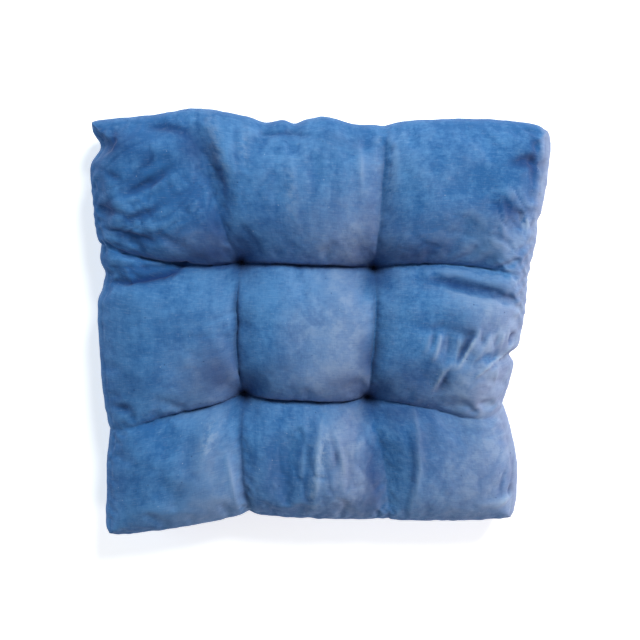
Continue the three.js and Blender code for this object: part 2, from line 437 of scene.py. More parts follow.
def surface(lines, height_of):
    """Points of the face or the underside, in millimetres, by line across and line along."""
    x, y, u, v, insets = places_of(lines)
    z = height_of(x, y, u, v, insets)
    lump, corner = lump_shift(x, y, insets), corner_shift(insets)
    return np.stack([x + lump[0] + corner[0], y + lump[1] + corner[1], z], -1)


def grid_normals(points):
    across = np.gradient(points, axis=0)
    along = np.gradient(points, axis=1)
    normal = np.cross(across, along)
    return normal / (np.linalg.norm(normal, axis=-1, keepdims=True) + 1e-12)


# Small folds of the cover, soft ones and crisp ones: from, via, to, width and height
SOFT_FOLDS = [
    (-192, 138, -184, 132, -175, 130, 5, -1.6),
    (-162, 138, -157, 145, -147, 150, 5, -2),
    (-173, 119, -155, 125, -134, 140, 5, -2.6),
    (-180, 112, -156, 118, -126, 134, 5, 1.8),
    (-202, 107, -192, 104, -178, 102, 6, -2.4),
    (-180, 92, -160, 98, -137, 111, 5, -2.2),
    (-172, 86, -150, 92, -126, 94, 6, 1),
    (-196, 88, -172, 83, -150, 76, 5, -2.2),
    (-150, 84, -134, 78, -120, 68, 5, -2),
    (-176, 174, -186, 168, -188, 152, 7, -2.6),
    (-151, 177, -136, 180, -114, 172, 5, -3),
    (-104, 160, -92, 146, -84, 112, 8, -2.6),
    (-172, -83, -182, -78, -194, -76, 4.5, -3),
    (170, 146, 186, 151, 200, 138, 4.5, -4.6),
    (176, 154, 188, 158, 198, 150, 4, 1.6),
    (150, 106, 164, 110, 180, 98, 6, -2),
    (186, 172, 194, 150, 190, 118, 5, -2),
    (88, 1, 103, -2, 120, -1, 5, -1.6),
    (122, -4, 134, -8, 150, -9, 5, -1.8),
    (114, -51, 111, -58, 110, -66, 5, -1.8),
    (141, -26, 154, -32, 168, -39, 6, -1),
    (-6, -92, -10, -130, -13, -176, 5, -1.2),
    (66, 172, 66, 143, 64, 100, 5, 0.8),
]
CRUMPLES = [
    (-201, 179, -192, 173, -196, 162, 5, -3),
    (-187, 59, -155, 54, -124, 50, 3, 2.4),
    (-197, 39, -162, 35, -122, 53, 2.4, -4.2),
    (-190, 52, -154, 49, -120, 54, 2.4, -1.8),
    (92, 43, 130, 36, 178, 22, 3.4, -2.8),
    (94, 36, 130, 28, 172, 15, 3, 1.2),
    (-190, 137, -184, 133, -177, 131, 2.2, -1.6),
    (-173, 118, -162, 123, -150, 129, 2, -1.8),
    (-152, 177, -136, 180, -118, 175, 2.2, -2.2),
    (-202, 108, -192, 104, -184, 102, 2.2, -1.8),
    (-194, 87, -172, 83, -150, 76, 2, -1.8),
    (-176, 94, -160, 98, -146, 105, 2, -1.5),
    (-196, 75, -182, 66, -168, 60, 2, -2.2),
    (-76, 178, -74, 161, -71, 135, 5, -1.2),
    (-64, 187, -64, 165, -60, 138, 5, 1.2),
    (-24, 142, -22, 118, -21, 90, 6, 1.2),
    (34, 170, 36, 148, 37, 118, 5, 1.2),
    (99, -8, 98, -16, 94, -24, 1.8, 1.6),
    (108, -4, 110, -15, 102, -31, 1.8, 2.4),
    (104, -6, 104, -12, 101, -18, 2, -2),
    (116, -8, 117, -18, 113, -30, 2.6, -1.8),
    (125, -10, 125, -22, 120, -38, 2.2, 2.2),
    (137, -7, 131, -19, 122, -31, 3.2, -4.4),
    (143, -4, 137, -18, 124, -37, 1.7, 4.2),
    (112, -38, 108, -50, 102, -59, 1.8, 2.4),
    (117, -38, 112, -52, 104, -66, 2.2, -1.6),
    (120, -30, 115, -38, 113, -44, 1.8, 1.4),
    (147, -10, 146, -13, 145, -16, 1.8, -2.8),
    (153, -8, 152, -14, 149, -22, 1.8, 1.6),
    (160, -10, 159, -14, 158, -18, 1.8, -3.2),
    (166, -7, 165, -14, 162, -20, 1.6, 2.6),
    (172, -3, 172, -9, 168, -15, 1.6, 1.8),
    (178, -8, 176, -13, 173, -18, 2.2, -3.4),
    (177, -18, 161, -32, 142, -46, 1.7, 3.6),
    (163, -36, 159, -46, 160, -55, 1.7, 2),
    (152, -26, 146, -30, 138, -35, 3, -1.6),
    (1, -88, -2, -125, -6, -174, 3, 2.4),
    (-12, -100, -16, -130, -18, -160, 2.6, 1.2),
    (10, -106, 14, -118, 16, -128, 2.4, -1.8),
    (14, -100, 20, -118, 22, -135, 2.6, 1.6),
    (-93, -88, -102, -106, -110, -130, 5, 1.4),
    (-86, -118, -82, -145, -76, -178, 3.5, 1.2),
    (85, -74, 98, -112, 84, -178, 1.5, 1.1),
    (80, -100, 90, -124, 79, -176, 3, -1.5),
    (183, 99, 189, 93, 186, 85, 2.6, 2.6),
    (178, 104, 182, 96, 180, 88, 2.6, -1.6),
    (160, -172, 172, -170, 178, -158, 2.6, 1.8),
    (166, -160, 170, -150, 172, -138, 2.4, -1.6),
    (174, -164, 179, -160, 180, -154, 2.4, -2.4),
    (148, -170, 164, -168, 178, -166, 4, 1.4),
    (181, -105, 183, -135, 178, -165, 2.5, -1.4),
    (-54, 171, -30, 173, -6, 170, 3, -2.2),
]

# Creased places: middle, half sizes, direction in degrees, spacing and height
CREASED_PLACES = [
    (-160, 128, 34, 40, 28, 10, 1.3),
    (-132, 104, 34, 34, 38, 8, 1.2),
    (-104, 130, 22, 36, -58, 8, 1.2),
    (-172, 92, 30, 24, -6, 8, 1.3),
    (-158, 46, 34, 9, 8, 6, 1.4),
    (172, 92, 26, 34, -48, 7, 1.5),
    (120, 70, 50, 24, -14, 11, 0.8),
    (156, -22, 28, 24, 66, 6, 1.1),
    (158, -54, 26, 18, 20, 8, 0.7),
    (4, -138, 60, 46, 80, 9, 1.1),
    (-30, 140, 66, 44, 88, 12, 0.7),
    (140, -130, 50, 50, 60, 10, 0.5),
    (-120, -140, 60, 40, 70, 13, 0.6),
    (-130, -10, 60, 50, 10, 14, 0.5),
]

# How dark the painted shade of a channel is for each stretch, how far the dark reaches, where
# that of a row begins from the left side and from the right, and over what length
ROW_HOLLOWS = [
    (1, (0.66, 0.80, 0.38), 1.5, 26, 84),
    (2, (0.95, 0.90, 0.80), 2.2, 36, 70),
]
COLUMN_HOLLOWS = [
    (1, (0.60, 0.48, 0.30), 2.4),
    (2, (0.10, 0.25, 0.40), 2.0),
]
HOLLOW_FADE = 60.0

# How dark the painted shade at the tufts is and how far it reaches, the same for the painted
# shade beyond them, and how far beyond them it lies
TUFT_HOLLOW = (0.95, 13)
TUFT_SHADE = (0.58, 30)
SHADE_SHIFT = 11.0

# How much wider the dark of a channel is at a tuft, and how far that reaches
WIDER_HOLLOW = (1.6, 20)

# Other shaded places: middle, half sizes and how dark
SHADED_PLACES = [
    (-198, 176, 12, 12, 0.4),
    (-182, 160, 23, 14, 0.6),
    (-160, 153, 18, 10, 0.3),
    (-116, 110, 14, 14, 0.32),
    (-136, 177, 17, 5, 0.34),
    (-113, 157, 15, 18, 0.78),
    (-103, 138, 9, 18, 0.2),
    (-94, 80, 19, 28, 0.8),
    (-150, 128, 24, 7, 0.14),
    (-190, 105, 16, 7, 0.3),
    (-154, 49, 34, 6, 0.4),
    (-96, 64, 28, 14, 0.88),
    (-40, 92, 46, 24, 0.36),
    (24, 180, 28, 18, 0.88),
    (128, 184, 42, 9, 0.24),
    (46, 88, 15, 26, 0.54),
    (64, 90, 26, 20, 0.34),
    (184, 148, 16, 15, 0.42),
    (191, 144, 8, 28, 0.76),
    (164, 101, 16, 12, 0.48),
    (142, 99, 18, 14, 0.3),
    (172, 88, 16, 13, 0.3),
    (131, -3, 16, 5, 0.26),
    (88, 64, 32, 14, 0.8),
    (108, 40, 40, 9, 0.26),
    (50, 40, 15, 15, 0.84),
    (46, -32, 14, 24, 0.82),
    (26, -42, 14, 16, 0.24),
    (80, -46, 30, 20, 0.5),
    (-64, -14, 9, 38, 0.2),
    (-94, -44, 24, 26, 0.74),
    (-41, -36, 21, 16, 0.44),
    (-166, -55, 22, 12, 0.36),
    (30, -54, 26, 11, 0.64),
    (-24, -55, 22, 8, 0.28),
    (74, -82, 34, 14, 0.68),
    (48, -80, 18, 15, 0.72),
    (94, -102, 19, 32, 0.36),
    (162, -148, 20, 12, 0.2),
    (24, -124, 12, 15, 0.22),
    (50, -149, 12, 44, 0.76),
    (-42, -146, 20, 32, 0.22),
]

# Where the bottom of a fold lies in the dark: from, via, to, width and how dark
SHADED_FOLDS = [
    (-196, 40, -160, 35, -122, 52, 2.6, 0.72),
    (-184, 47, -154, 45, -118, 53, 5.5, 0.4),
    (98, 43, 126, 39, 152, 30, 6, 0.5),
    (146, 32, 166, 26, 182, 19, 4, 0.3),
    (191, 165, 195, 142, 191, 118, 6.5, 0.66),
    (174, 147, 184, 143, 194, 136, 4, 0.34),
    (112, -81, 124, -85, 146, -88, 4, 0.3),
    (-194, 172, -197, 165, -195, 158, 5, 0.55),
    (138, -8, 131, -19, 122, -31, 3, 0.45),
    (113, -10, 112, -17, 108, -25, 2.4, 0.35),
    (102, -7, 101, -12, 99, -18, 2.4, 0.32),
    (118, -34, 114, -46, 108, -60, 4, 0.34),
    (172, -12, 168, -20, 158, -26, 3, 0.25),
]

# Where the dye is rubbed off in a stroke: from, via, to, width and how far
RUBBED = [
    (6, -94, -2, -130, -10, -178, 5, 0.56),
    (14, -92, 8, -112, 4, -132, 7, 0.22),
    (22, -118, 20, -140, 14, -172, 9, 0.18),
    (85, -74, 98, -112, 84, -180, 1.6, 0.24),
    (-93, -88, -102, -106, -110, -130, 7, 0.52),
    (-26, 144, -25, 118, -23, 92, 6, 0.26),
    (-98, 186, -94, 160, -84, 132, 6, 0.34),
    (-66, 180, -66, 162, -63, 146, 4, 0.26),
    (36, 120, 38, 96, 34, 70, 8, 0.2),
    (184, 100, 190, 92, 188, 82, 4, 0.5),
    (160, -172, 176, -172, 180, -150, 5, 0.35),
    (65, 172, 65, 143, 62, 102, 4, 0.18),
    (0, -40, 16, -30, 28, -52, 14, 0.3),
]

# Where the dye is worn and has gone grey, and where light and shade are painted in as wear
# and grey: middle, half sizes, wear and grey
WORN_AND_PAINTED_LIGHT_PLACES = [
    (-145, 125, 60, 65, -0.57, -0.12),
    (-160, 45, 44, 20, -0.45, 0),
    (-60, 130, 30, 50, 0.05, 0),
    (28, 80, 34, 32, -0.18, 0.42),
    (-20, 72, 40, 18, -0.25, 0),
    (120, 130, 70, 60, -0.38, -0.02),
    (120, 82, 50, 20, -0.4, 0),
    (-100, 160, 26, 20, 0.25, 0),
    # Painted shade on the shoulder and in the strip beside the pale right wall, this line and the
    # next
    (178, 142, 24, 38, -0.34, -0.34),
    (189, 145, 8, 26, -0.7, -0.45),
    (166, 98, 18, 14, -0.36, -0.08),
    (130, 186, 50, 12, -0.4, 0),
    (24, 184, 26, 14, -0.3, 0),
    (24, 0, 30, 52, 0.4, 0.46),
    (-5, 34, 44, 16, 0.45, 0.05),
    (-52, 8, 16, 40, 0.18, -0.1),
    (-20, -6, 22, 22, 0.1, 0.24),
    # Painted light on the far slope of the far channel near its right end
    (146, 72, 24, 20, 0.85, 0.16),
    (-95, -45, 34, 26, 0.05, 0.38),
    (95, -56, 32, 22, -0.42, 0.06),
    (140, -66, 30, 24, 0.66, 0.42),
    (165, -15, 34, 34, 0.15, 0.62),
    (152, -58, 32, 20, 0.35, 0.12),
    (156, -29, 13, 5, -0.1, -0.7),
    (92, 8, 28, 36, -0.16, -0.1),
    (-172, -134, 34, 60, -0.16, -0.22),
    (-188, 0, 20, 80, 0.05, -0.25),
    (-98, -150, 32, 44, 0.5, 0.3),
    # Painted light on the lit slope just below the near channel
    (-118, -78, 30, 13, 0.66, 0.1),
    (-146, -98, 24, 14, -0.26, 0),
    (4, -50, 34, 18, 0.35, 0.42),
    (-38, -135, 26, 40, -0.35, 0),
    (40, -128, 16, 40, -0.25, 0),
    (20, -156, 50, 26, 0.1, 0.05),
    (26, -140, 22, 50, -0.05, 0.5),
    (26, -98, 22, 16, 0.2, 0.35),
    (70, -135, 22, 44, -0.06, -0.05),
    (100, -104, 30, 20, -0.35, -0.05),
    (140, -135, 45, 55, -0.26, 0.38),
    (140, -170, 50, 14, 0.3, 0.1),
    (-120, -178, 40, 16, 0.75, 0.12),
    (-112, 74, 24, 14, -0.06, 0.3),
    # Painted light on the lit slope just below the far channel
    (-104, 36, 26, 16, 0.3, 0),
    (72, 132, 18, 26, 0.35, 0),
    (-66, 0, 16, 60, 0, -0.2),
    (47, 30, 12, 40, 0, -0.32),
    (50, -25, 11, 26, 0, -0.34),
    (48, -112, 11, 24, 0, -0.34),
    (-70, -80, 12, 36, 0, -0.28),
]

# Width, wear and grey of the side band at the right, a pale band of painted light where the side
# lamp falls
RIGHT_WALL_PAINTED_LIGHT = (7.5, 0.60, 1.5)

# How far wear and grey reach under the cushion
WEAR_UNDER = 4.0

# Spare length of the cover as a share, and where it has more: middle, half sizes and share
LOOSE_COVER = 0.009
LOOSER_PLACES = [
    (-165, 120, 50, 60, 0.03),
    (180, 70, 32, 110, 0.03),
    (142, -25, 45, 45, 0.028),
    (-5, -140, 62, 50, 0.016),
    (-20, 150, 62, 42, 0.005),
    (110, 130, 50, 50, 0.01),
    (-130, -130, 60, 60, 0.012),
]

# Lines of the coarse mesh that is puffed up, how uneven it starts, how many frames that
# takes, and how far a point may move
PUFF_STEPS = 27
PUFF_BAND_STEPS = 3
PUFF_START = 0.1
PUFF_FRAMES = 30
PUFF_CAP = 7.0

# How firmly filling and column stitches hold the cover, with 1 for sewn down, and how far
# the hold of a channel, a tuft and the widest line reaches
FILLING_HOLD = 0.2
COLUMN_HOLD = 0.8
STITCH_HOLD = 5.0
TUFT_HOLD = 20.0
RIM_HOLD = 9.0

# How far small folds, creases and marks stray, and over which length
CRUMPLE_STRAY = (1.1, 15)
SOFT_FOLD_STRAY = (2.2, 28)
CREASE_STRAY = (5.0, 24)
SHADED_STRAY = (1.6, 15)
RUBBED_STRAY = (2.5, 14)

# How much small folds vary in height and over which length, and how far in they are full
FOLD_CHANGE = (0.35, 18)
SMALL_FOLD_END = 8.0

# Length of a crease in spacings, end of a valley on its noise, and how far it is lowered
CREASE_LENGTH = 2.4
VALLEY_END = 0.5
CREASE_LEVEL = 0.7

# Unevenness of the whole face: height, width and seed
UNEVENNESS = [(0.5, 34, 11), (0.2, 10, 23)]

# Puckers across the seam: height, width, length and reach
PUCKERS = (0.45, 5.5, 40, 8)

# Groove of the seam: depth at the left and right, depth elsewhere, length and width
GROOVE = (0.2, 0.05, 16, 1.5)

# Height at which a crest and a fold show in full, lines of the mesh round a crest, and how
# far past the seam a crest and a hollow show in full
FULL_CREST = 1.2
FULL_FOLD = 2.4
CREST_LINES = 5
CREST_END = 6.0
HOLLOW_END = 14.0


def strayed(x, y, far, scale):
    """Places moved a little, so that small folds are nowhere straight or even."""
    aside, ahead = (layered(x / scale, y / scale, seed, 2) for seed in (51, 54))
    return x + far * aside, y + far * ahead


def from_middle(x, y, cx, cy, wide, long):
    """Distance from the middle of an oval place, with 1 at its half sizes."""
    return np.hypot((x - cx) / wide, (y - cy) / long)


def from_tufts(x, y):
    return np.minimum.reduce([np.hypot(x - cx, y - cy) for cx, cy in TUFT_PLACES])


def creased(x, y):
    """Creases that run one way, with round backs and narrow valleys between them."""
    height = np.zeros_like(x)
    wx, wy = strayed(x, y, *CREASE_STRAY)
    for k, (*oval, degrees, spacing, tall) in enumerate(CREASED_PLACES):
        ahead = np.array([math.cos(math.radians(degrees)), math.sin(math.radians(degrees))])
        along, across = wx * ahead[0] + wy * ahead[1], wy * ahead[0] - wx * ahead[1]
        valleys = np.abs(layered(along / (CREASE_LENGTH * spacing), across / spacing, 61 + 3 * k, 2))
        here = bell(from_middle(x, y, *oval) ** 1.5)
        height += tall * here * (np.minimum(valleys, VALLEY_END) / VALLEY_END - CREASE_LEVEL)
    return height


def small_folds(x, y, insets):
    """Height of the small folds and creases of the cover."""
    height = fold_height(CRUMPLES, *strayed(x, y, *CRUMPLE_STRAY), sharp_bell)
    height += fold_height(SOFT_FOLDS, *strayed(x, y, *SOFT_FOLD_STRAY))
    change, length = FOLD_CHANGE
    height *= 1 + change * noise(x / length, y / length, 57)
    return (height + creased(x, y)) * smooth(nearest_inset(insets) / SMALL_FOLD_END)


def fine_relief(points, insets, folds):
    """Moves the face out and in along its normals by folds, puckers and unevenness."""
    x, y = points[..., 0], points[..., 1]
    nearest = nearest_inset(insets)
    height = folds
    for tall, width, seed in UNEVENNESS:
        height = height + tall * layered(x / width, y / width, seed)
    ends = np.less(*inset_pairs(insets))
    around = np.where(ends, y, x)
    tall, width, length, reach = PUCKERS
    pucker = noise(around / width, nearest / length, 31) * bell((nearest - SEAM_INSET) / reach)
    height += tall * pucker
    side_depth, edge_depth, length, width = GROOVE
    groove = np.where(ends, side_depth, edge_depth) * (1 + noise(around / length, 0.0, 37))
    height -= groove * bell((nearest - SEAM_INSET) / width)
    return points + grid_normals(points) * height[..., None]


def spline_weights(knots, places):
    """Weights that carry values on the knots to other places along a natural cubic spline."""
    count = len(knots)
    gap = np.diff(knots)
    system, right = np.eye(count), np.zeros((count, count))
    for k in range(1, count - 1):
        system[k, k - 1:k + 2] = gap[k - 1], 2 * (gap[k - 1] + gap[k]), gap[k]
        right[k, k - 1:k + 2] = 6 / gap[k - 1], -6 / gap[k - 1] - 6 / gap[k], 6 / gap[k]
    bend = np.linalg.solve(system, right)
    index = np.clip(np.searchsorted(knots, places, side="right") - 1, 0, count - 2)
    width = gap[index]
    after = (places - knots[index]) / width
    before = 1 - after
    weights = (before**3 - before)[:, None] * bend[index]
    weights += (after**3 - after)[:, None] * bend[index + 1]
    weights *= (width**2 / 6)[:, None]
    rows = np.arange(len(places))
    weights[rows, index] += before
    weights[rows, index + 1] += after
    return weights


def stitch_weights(x, y, u, v):
    """1 where the cover is sewn down, falling to how it is held by the filling elsewhere."""
    sewn = bell(nearest_inset(insets_of(u, v)) / RIM_HOLD)
    for line in (1, 2):
        sewn = np.maximum(sewn, bell((y - on_row(line, u)[1]) / STITCH_HOLD))
        sewn = np.maximum(sewn, COLUMN_HOLD * bell((x - on_column(line, v)[0]) / STITCH_HOLD))
    sewn = np.maximum(sewn, bell(from_tufts(x, y) / TUFT_HOLD))
    return mix(FILLING_HOLD, 1, sewn)


def looseness(x, y):
    """Spare length of the cover over the filling, as a share."""
    loose = np.full(x.shape, LOOSE_COVER)
    for *oval, share in LOOSER_PLACES:
        loose += share * bell(from_middle(x, y, *oval) ** 2)
    return loose


def add_object(name, data):
    piece = bpy.data.objects.new(name, data)
    bpy.context.collection.objects.link(piece)
    return piece


def weigh(piece, name, weights):
    group = piece.vertex_groups.new(name=name)
    for index, weight in enumerate(weights.ravel()):
        group.add([index], float(weight), "REPLACE")


def puffed(knots):
    """Puffs the loose cover up from inside, and returns how far each point moves."""
    u, v = np.meshgrid(knots, knots, indexing="ij")
    start = surface(knots, face_height)
    x, y = start[..., 0], start[..., 1]
    count = len(knots)
    uneven = PUFF_START * np.random.default_rng(5).uniform(-1, 1, (count, count, 1))
    points = start + grid_normals(start) * uneven
    ids = np.arange(count * count).reshape(count, count)
    mesh = bpy.data.meshes.new("loose_cover")
    mesh.from_pydata((points.reshape(-1, 3) * MM).tolist(), [], quads(ids))
    piece = add_object("loose_cover", mesh)
    loose = looseness(x, y)
    weigh(piece, "held", stitch_weights(x, y, u, v))
    weigh(piece, "tight", 1 - loose / loose.max())

    puff = piece.modifiers.new("puff", "CLOTH")
    cloth = puff.settings
    cloth.quality = 6
    cloth.mass = 0.3
    cloth.tension_stiffness = cloth.compression_stiffness = 15
    cloth.shear_stiffness = 5
    cloth.bending_stiffness = 14
    cloth.use_pressure = True
    cloth.uniform_pressure_force = 10
    cloth.effector_weights.gravity = 0
    cloth.vertex_group_mass = "held"
    cloth.vertex_group_shrink = "tight"
    cloth.shrink_min = -loose.max()
    puff.collision_settings.use_collision = False
    puff.point_cache.frame_end = PUFF_FRAMES
    scene = bpy.context.scene
    for step in range(1, PUFF_FRAMES + 1):
        scene.frame_set(step)
    shape = piece.evaluated_get(bpy.context.evaluated_depsgraph_get()).to_mesh()
    moved = np.empty(count * count * 3)
    shape.vertices.foreach_get("co", moved)
    scene.frame_set(1)
    bpy.data.objects.remove(piece)
    bpy.data.meshes.remove(mesh)
    shift = moved.reshape(count, count, 3) / MM - start
    far = np.linalg.norm(shift, axis=-1, keepdims=True)
    return shift * np.minimum(1, PUFF_CAP / np.maximum(far, 1e-6))


def quads(ids):
    """Faces between neighbouring lines of a grid of point numbers."""
    corners = [ids[:-1, :-1], ids[1:, :-1], ids[1:, 1:], ids[:-1, 1:]]
    return np.stack(corners, -1).reshape(-1, 4).tolist()


def thread_lengths(points):
    """Length of cloth up to each line of the grid, from its middle, in both directions."""
    lengths = []
    for axis in (0, 1):
        step = np.linalg.norm(np.diff(points, axis=axis), axis=-1).mean(axis=1 - axis)
        length = np.concatenate([[0], np.cumsum(step)])
        lengths.append((length - length[-1] / 2) * MM)
    return lengths


def blurred(values, reach):
    """Values smoothed over neighbouring lines of the grid."""
    weights = bell(np.arange(-2 * reach, 2 * reach + 1) / reach)
    weights /= weights.sum()
    for axis in (0, 1):
        sides = [(2 * reach, 2 * reach) if k == axis else (0, 0) for k in (0, 1)]
        padded = np.pad(values, sides, "edge")
        values = np.apply_along_axis(np.convolve, axis, padded, weights, "valid")
    return values


def painted_shade_depths(x, y, u, v, insets):
    """Painted shade: 1 at the dark bottom of the channels, folds and tufts, 0 on the pads."""
    wider, near = WIDER_HOLLOW
    widened = 1 + wider * bell(from_tufts(x, y) / near)

    def shown(side, start):
        return smooth((insets[side] - start) / HOLLOW_FADE)

    depths = []
    for line, deep, reach, left, right in ROW_HOLLOWS:
        away = row_away(line, x, y, u) / (reach * widened)
        depths.append(carried(deep, u) * bell(away) * shown("left", left) * shown("right", right))
    for line, deep, reach in COLUMN_HOLLOWS:
        away = column_away(line, x, y, v) / (reach * widened)
        depths.append(carried(deep, v) * bell(away))
    for (deep, reach), shift in ((TUFT_HOLLOW, 0), (TUFT_SHADE, SHADE_SHIFT)):
        depths.append(deep * bell(from_tufts(x, y - shift) / reach))
    for *oval, dark in SHADED_PLACES:
        depths.append(dark * bell(from_middle(x, y, *oval)))
    depths.append(fold_height(SHADED_FOLDS, *strayed(x, y, *SHADED_STRAY)))
    return np.maximum.reduce(depths)


def worn_and_painted_light_places(x, y, insets):
    """Wear and grey at each point, with painted light and shade, over what the whole cover has."""
    worn_and_painted_light, grey_and_painted_light = np.zeros_like(x), np.zeros_like(x)
    for *oval, wear_and_painted_light, grey_share in WORN_AND_PAINTED_LIGHT_PLACES:
        here = bell(from_middle(x, y, *oval))
        worn_and_painted_light += wear_and_painted_light * here
        grey_and_painted_light += grey_share * here
    # The pale, greyer band on the right wall is painted light from the side lamp
    width, wear_and_painted_light, grey_share = RIGHT_WALL_PAINTED_LIGHT
    wall = bell(insets["right"] / width)
    return worn_and_painted_light + wear_and_painted_light * wall, grey_and_painted_light + grey_share * wall


def rim_of(count):
    """True for the points of a grid that lie on the widest line."""
    rim = np.zeros((count, count), bool)
    rim[[0, -1], :] = rim[:, [0, -1]] = True
    return rim


def base_loops(base_ids):
    """Places round each face of the underside, which spans two steps each way."""
    loops = []
    for i in range(0, len(base_ids) - 1, 2):
        for j in range(0, len(base_ids) - 1, 2):
            loop = [(i, j), (i, j + 1), (i, j + 2), (i + 1, j + 2),
                    (i + 2, j + 2), (i + 2, j + 1), (i + 2, j), (i + 1, j)]
            loops.append([place for place in loop if base_ids[place] >= 0])
    return loops


def cover_marks(lines, face, folds):
    """What the material reads: names, and values on the face and on the underside."""
    x, y, u, v, insets = places_of(lines)
    seam = nearest_inset(insets) - SEAM_INSET
    crest = face[..., 2] - blurred(face[..., 2], CREST_LINES)
    crest = np.clip(crest / FULL_CREST, -1, 1) * smooth(seam / CREST_END)
    painted_shade = painted_shade_depths(x, y, u, v, insets) * smooth(seam / HOLLOW_END)
    rubbed = fold_height(RUBBED, *strayed(x, y, *RUBBED_STRAY))
    worn_and_painted_light, grey_and_painted_light = worn_and_painted_light_places(x, y, insets)
    under = bell(nearest_inset(insets) / WEAR_UNDER)
    fold = np.clip(folds / FULL_FOLD, -1, 1)
    none = np.zeros_like(x)
    return [("seam", seam, seam), ("crest", crest, none), ("fold", fold, none),
            ("painted_shade", painted_shade, none), ("rubbed", rubbed, none),
            ("worn_and_painted_light", worn_and_painted_light, worn_and_painted_light * under), ("grey_and_painted_light", grey_and_painted_light, grey_and_painted_light * under)]


def cover_mesh(name, lines, face, base, folds):
    """One closed mesh: the face on every line, the underside on every second one."""
    count = len(lines)
    rim = rim_of(count)
    ids = np.arange(count * count).reshape(count, count)
    inner = np.zeros_like(rim)
    inner[::2, ::2] = True
    inner &= ~rim
    base_ids = np.where(rim, ids, -1)
    base_ids[inner] = count * count + np.arange(inner.sum())
    below = base_loops(base_ids)

    mesh = bpy.data.meshes.new(name)
    points = np.concatenate([face.reshape(-1, 3), base[inner]])
    faces = quads(ids) + [[int(base_ids[place]) for place in loop] for loop in below]
    mesh.from_pydata((points * MM).tolist(), [], faces)
    mesh.shade_smooth()

    steps = range(count - 1)
    above = [((i, j), (i + 1, j), (i + 1, j + 1), (i, j + 1)) for i in steps for j in steps]
    flat = []
    for grid, loops in ((face, above), (base, below)):
        across, along = thread_lengths(grid)
        flat += [(across[i], along[j]) for loop in loops for i, j in loop]
    thread = mesh.uv_layers.new(name="thread")
    thread.data.foreach_set("uv", np.array(flat).ravel())

    for label, on_face, on_base in cover_marks(lines, face, folds):
        values = np.concatenate([on_face.ravel(), on_base[inner]])
        mesh.attributes.new(label, "FLOAT", "POINT").data.foreach_set("value", values)
    return mesh


def cushion_piece():
    """The cushion, and the middle of its plan before it is moved to the origin."""
    lines = lines_of(STEPS, BAND_STEPS)
    face, base = surface(lines, face_height), surface(lines, base_height)
    plan = face.reshape(-1, 3)[:, :2]
    middle = (plan.min(0) + plan.max(0)) / 2
    knots = lines_of(PUFF_STEPS, PUFF_BAND_STEPS)
    weights = spline_weights(knots, lines)
    shift = puffed(knots)
    face += np.stack([weights @ shift[..., axis] @ weights.T for axis in range(3)], -1)
    insets = insets_of(*np.meshgrid(lines, lines, indexing="ij"))
    folds = small_folds(face[..., 0], face[..., 1], insets)
    face = fine_relief(face, insets, folds)
    rim = rim_of(len(lines))
    base[rim] = face[rim]
    face[..., :2] -= middle
    base[..., :2] -= middle
    name = "cushion_cover"
    return add_object(name, cover_mesh(name, lines, face, base, folds)), middle


class Graph:
    """Short ways to add nodes to a material."""

    def __init__(self, material):
        material.use_nodes = True
        self.nodes, self.links = material.node_tree.nodes, material.node_tree.links
        self.shader = self.nodes["Principled BSDF"]

    def put(self, socket, value):
        if isinstance(value, bpy.types.NodeSocket):
            self.links.new(value, socket)
        elif value is not None:
            socket.default_value = value

    def node(self, kind, inputs, **settings):
        """Adds a node and returns its outputs, with its inputs by name or number."""
        node = self.nodes.new("ShaderNode" + kind)
        for name, value in settings.items():
            setattr(node, name, value)
        for name, value in inputs.items():
            self.put(node.inputs[name], value)
        return node.outputs

    def math(self, operation, a, b=None):
        return self.node("Math", {0: a, 1: b}, operation=operation)[0]

    def add(self, first, *others):
        for other in others:
            first = self.math("ADD", first, other)
        return first

    def times(self, first, *others):
        for other in others:
            first = self.math("MULTIPLY", first, other)
        return first

    def most(self, a, b):
        return self.math("MAXIMUM", a, b)

    def least(self, a, b):
        return self.math("MINIMUM", a, b)

    def size(self, value):
        return self.math("ABSOLUTE", value)

    def ramp(self, value, low, high, start=0.0, end=1.0):
        inputs = {0: value, 1: low, 2: high, 3: start, 4: end}
        return self.node("MapRange", inputs, interpolation_type="SMOOTHSTEP")[0]

    def place(self, x, y):
        return self.node("CombineXYZ", {0: x, 1: y})[0]

    def parts(self, vector):
        return self.node("SeparateXYZ", {0: vector})

    def noise(self, vector, scale, detail=2.0, roughness=0.5):
        inputs = {"Vector": vector, "Scale": scale, "Detail": detail, "Roughness": roughness}
        return self.node("TexNoise", inputs)[0]

    def specks(self, vector, scale, size):
        """1 in the middle of scattered small dots, 0 elsewhere."""
        distance = self.node("TexVoronoi", {"Vector": vector, "Scale": scale})["Distance"]
        return self.ramp(distance, size, size * 0.4)

    def attribute(self, name):
        return self.node("Attribute", {}, attribute_name=name)["Fac"]

    def blend(self, share, a, b):
        return self.node("Mix", {"Factor": share, 6: a, 7: b}, data_type="RGBA")[2]

    def bump(self, height, strength, distance, normal=None):
        inputs = {"Height": height, "Strength": strength, "Distance": distance, "Normal": normal}
        return self.node("Bump", inputs)[0]


# Colours of the dye where it is deep, worn, grey and chafed, of the painted shade, and of lint
DEEP_DYE = (0.021, 0.102, 0.275, 1)
WORN_DYE = (0.065, 0.190, 0.400, 1)
GREY_DYE = (0.175, 0.228, 0.370, 1)
CHAFED_DYE = (0.27, 0.36, 0.50, 1)
# Painted shade: the near-black navy blended into the channels, round the tufts and into fold bottoms
PAINTED_SHADE_COLOUR = (0.002, 0.016, 0.095, 1)
LINT = (0.42, 0.50, 0.62, 1)
DARK_LINT = (0.012, 0.035, 0.11, 1)

# The side of the side lamp: what faces it gets a paler, greyer colour as painted light
PAINTED_LIGHT_SIDE = (0.78, -0.22, 0.3)

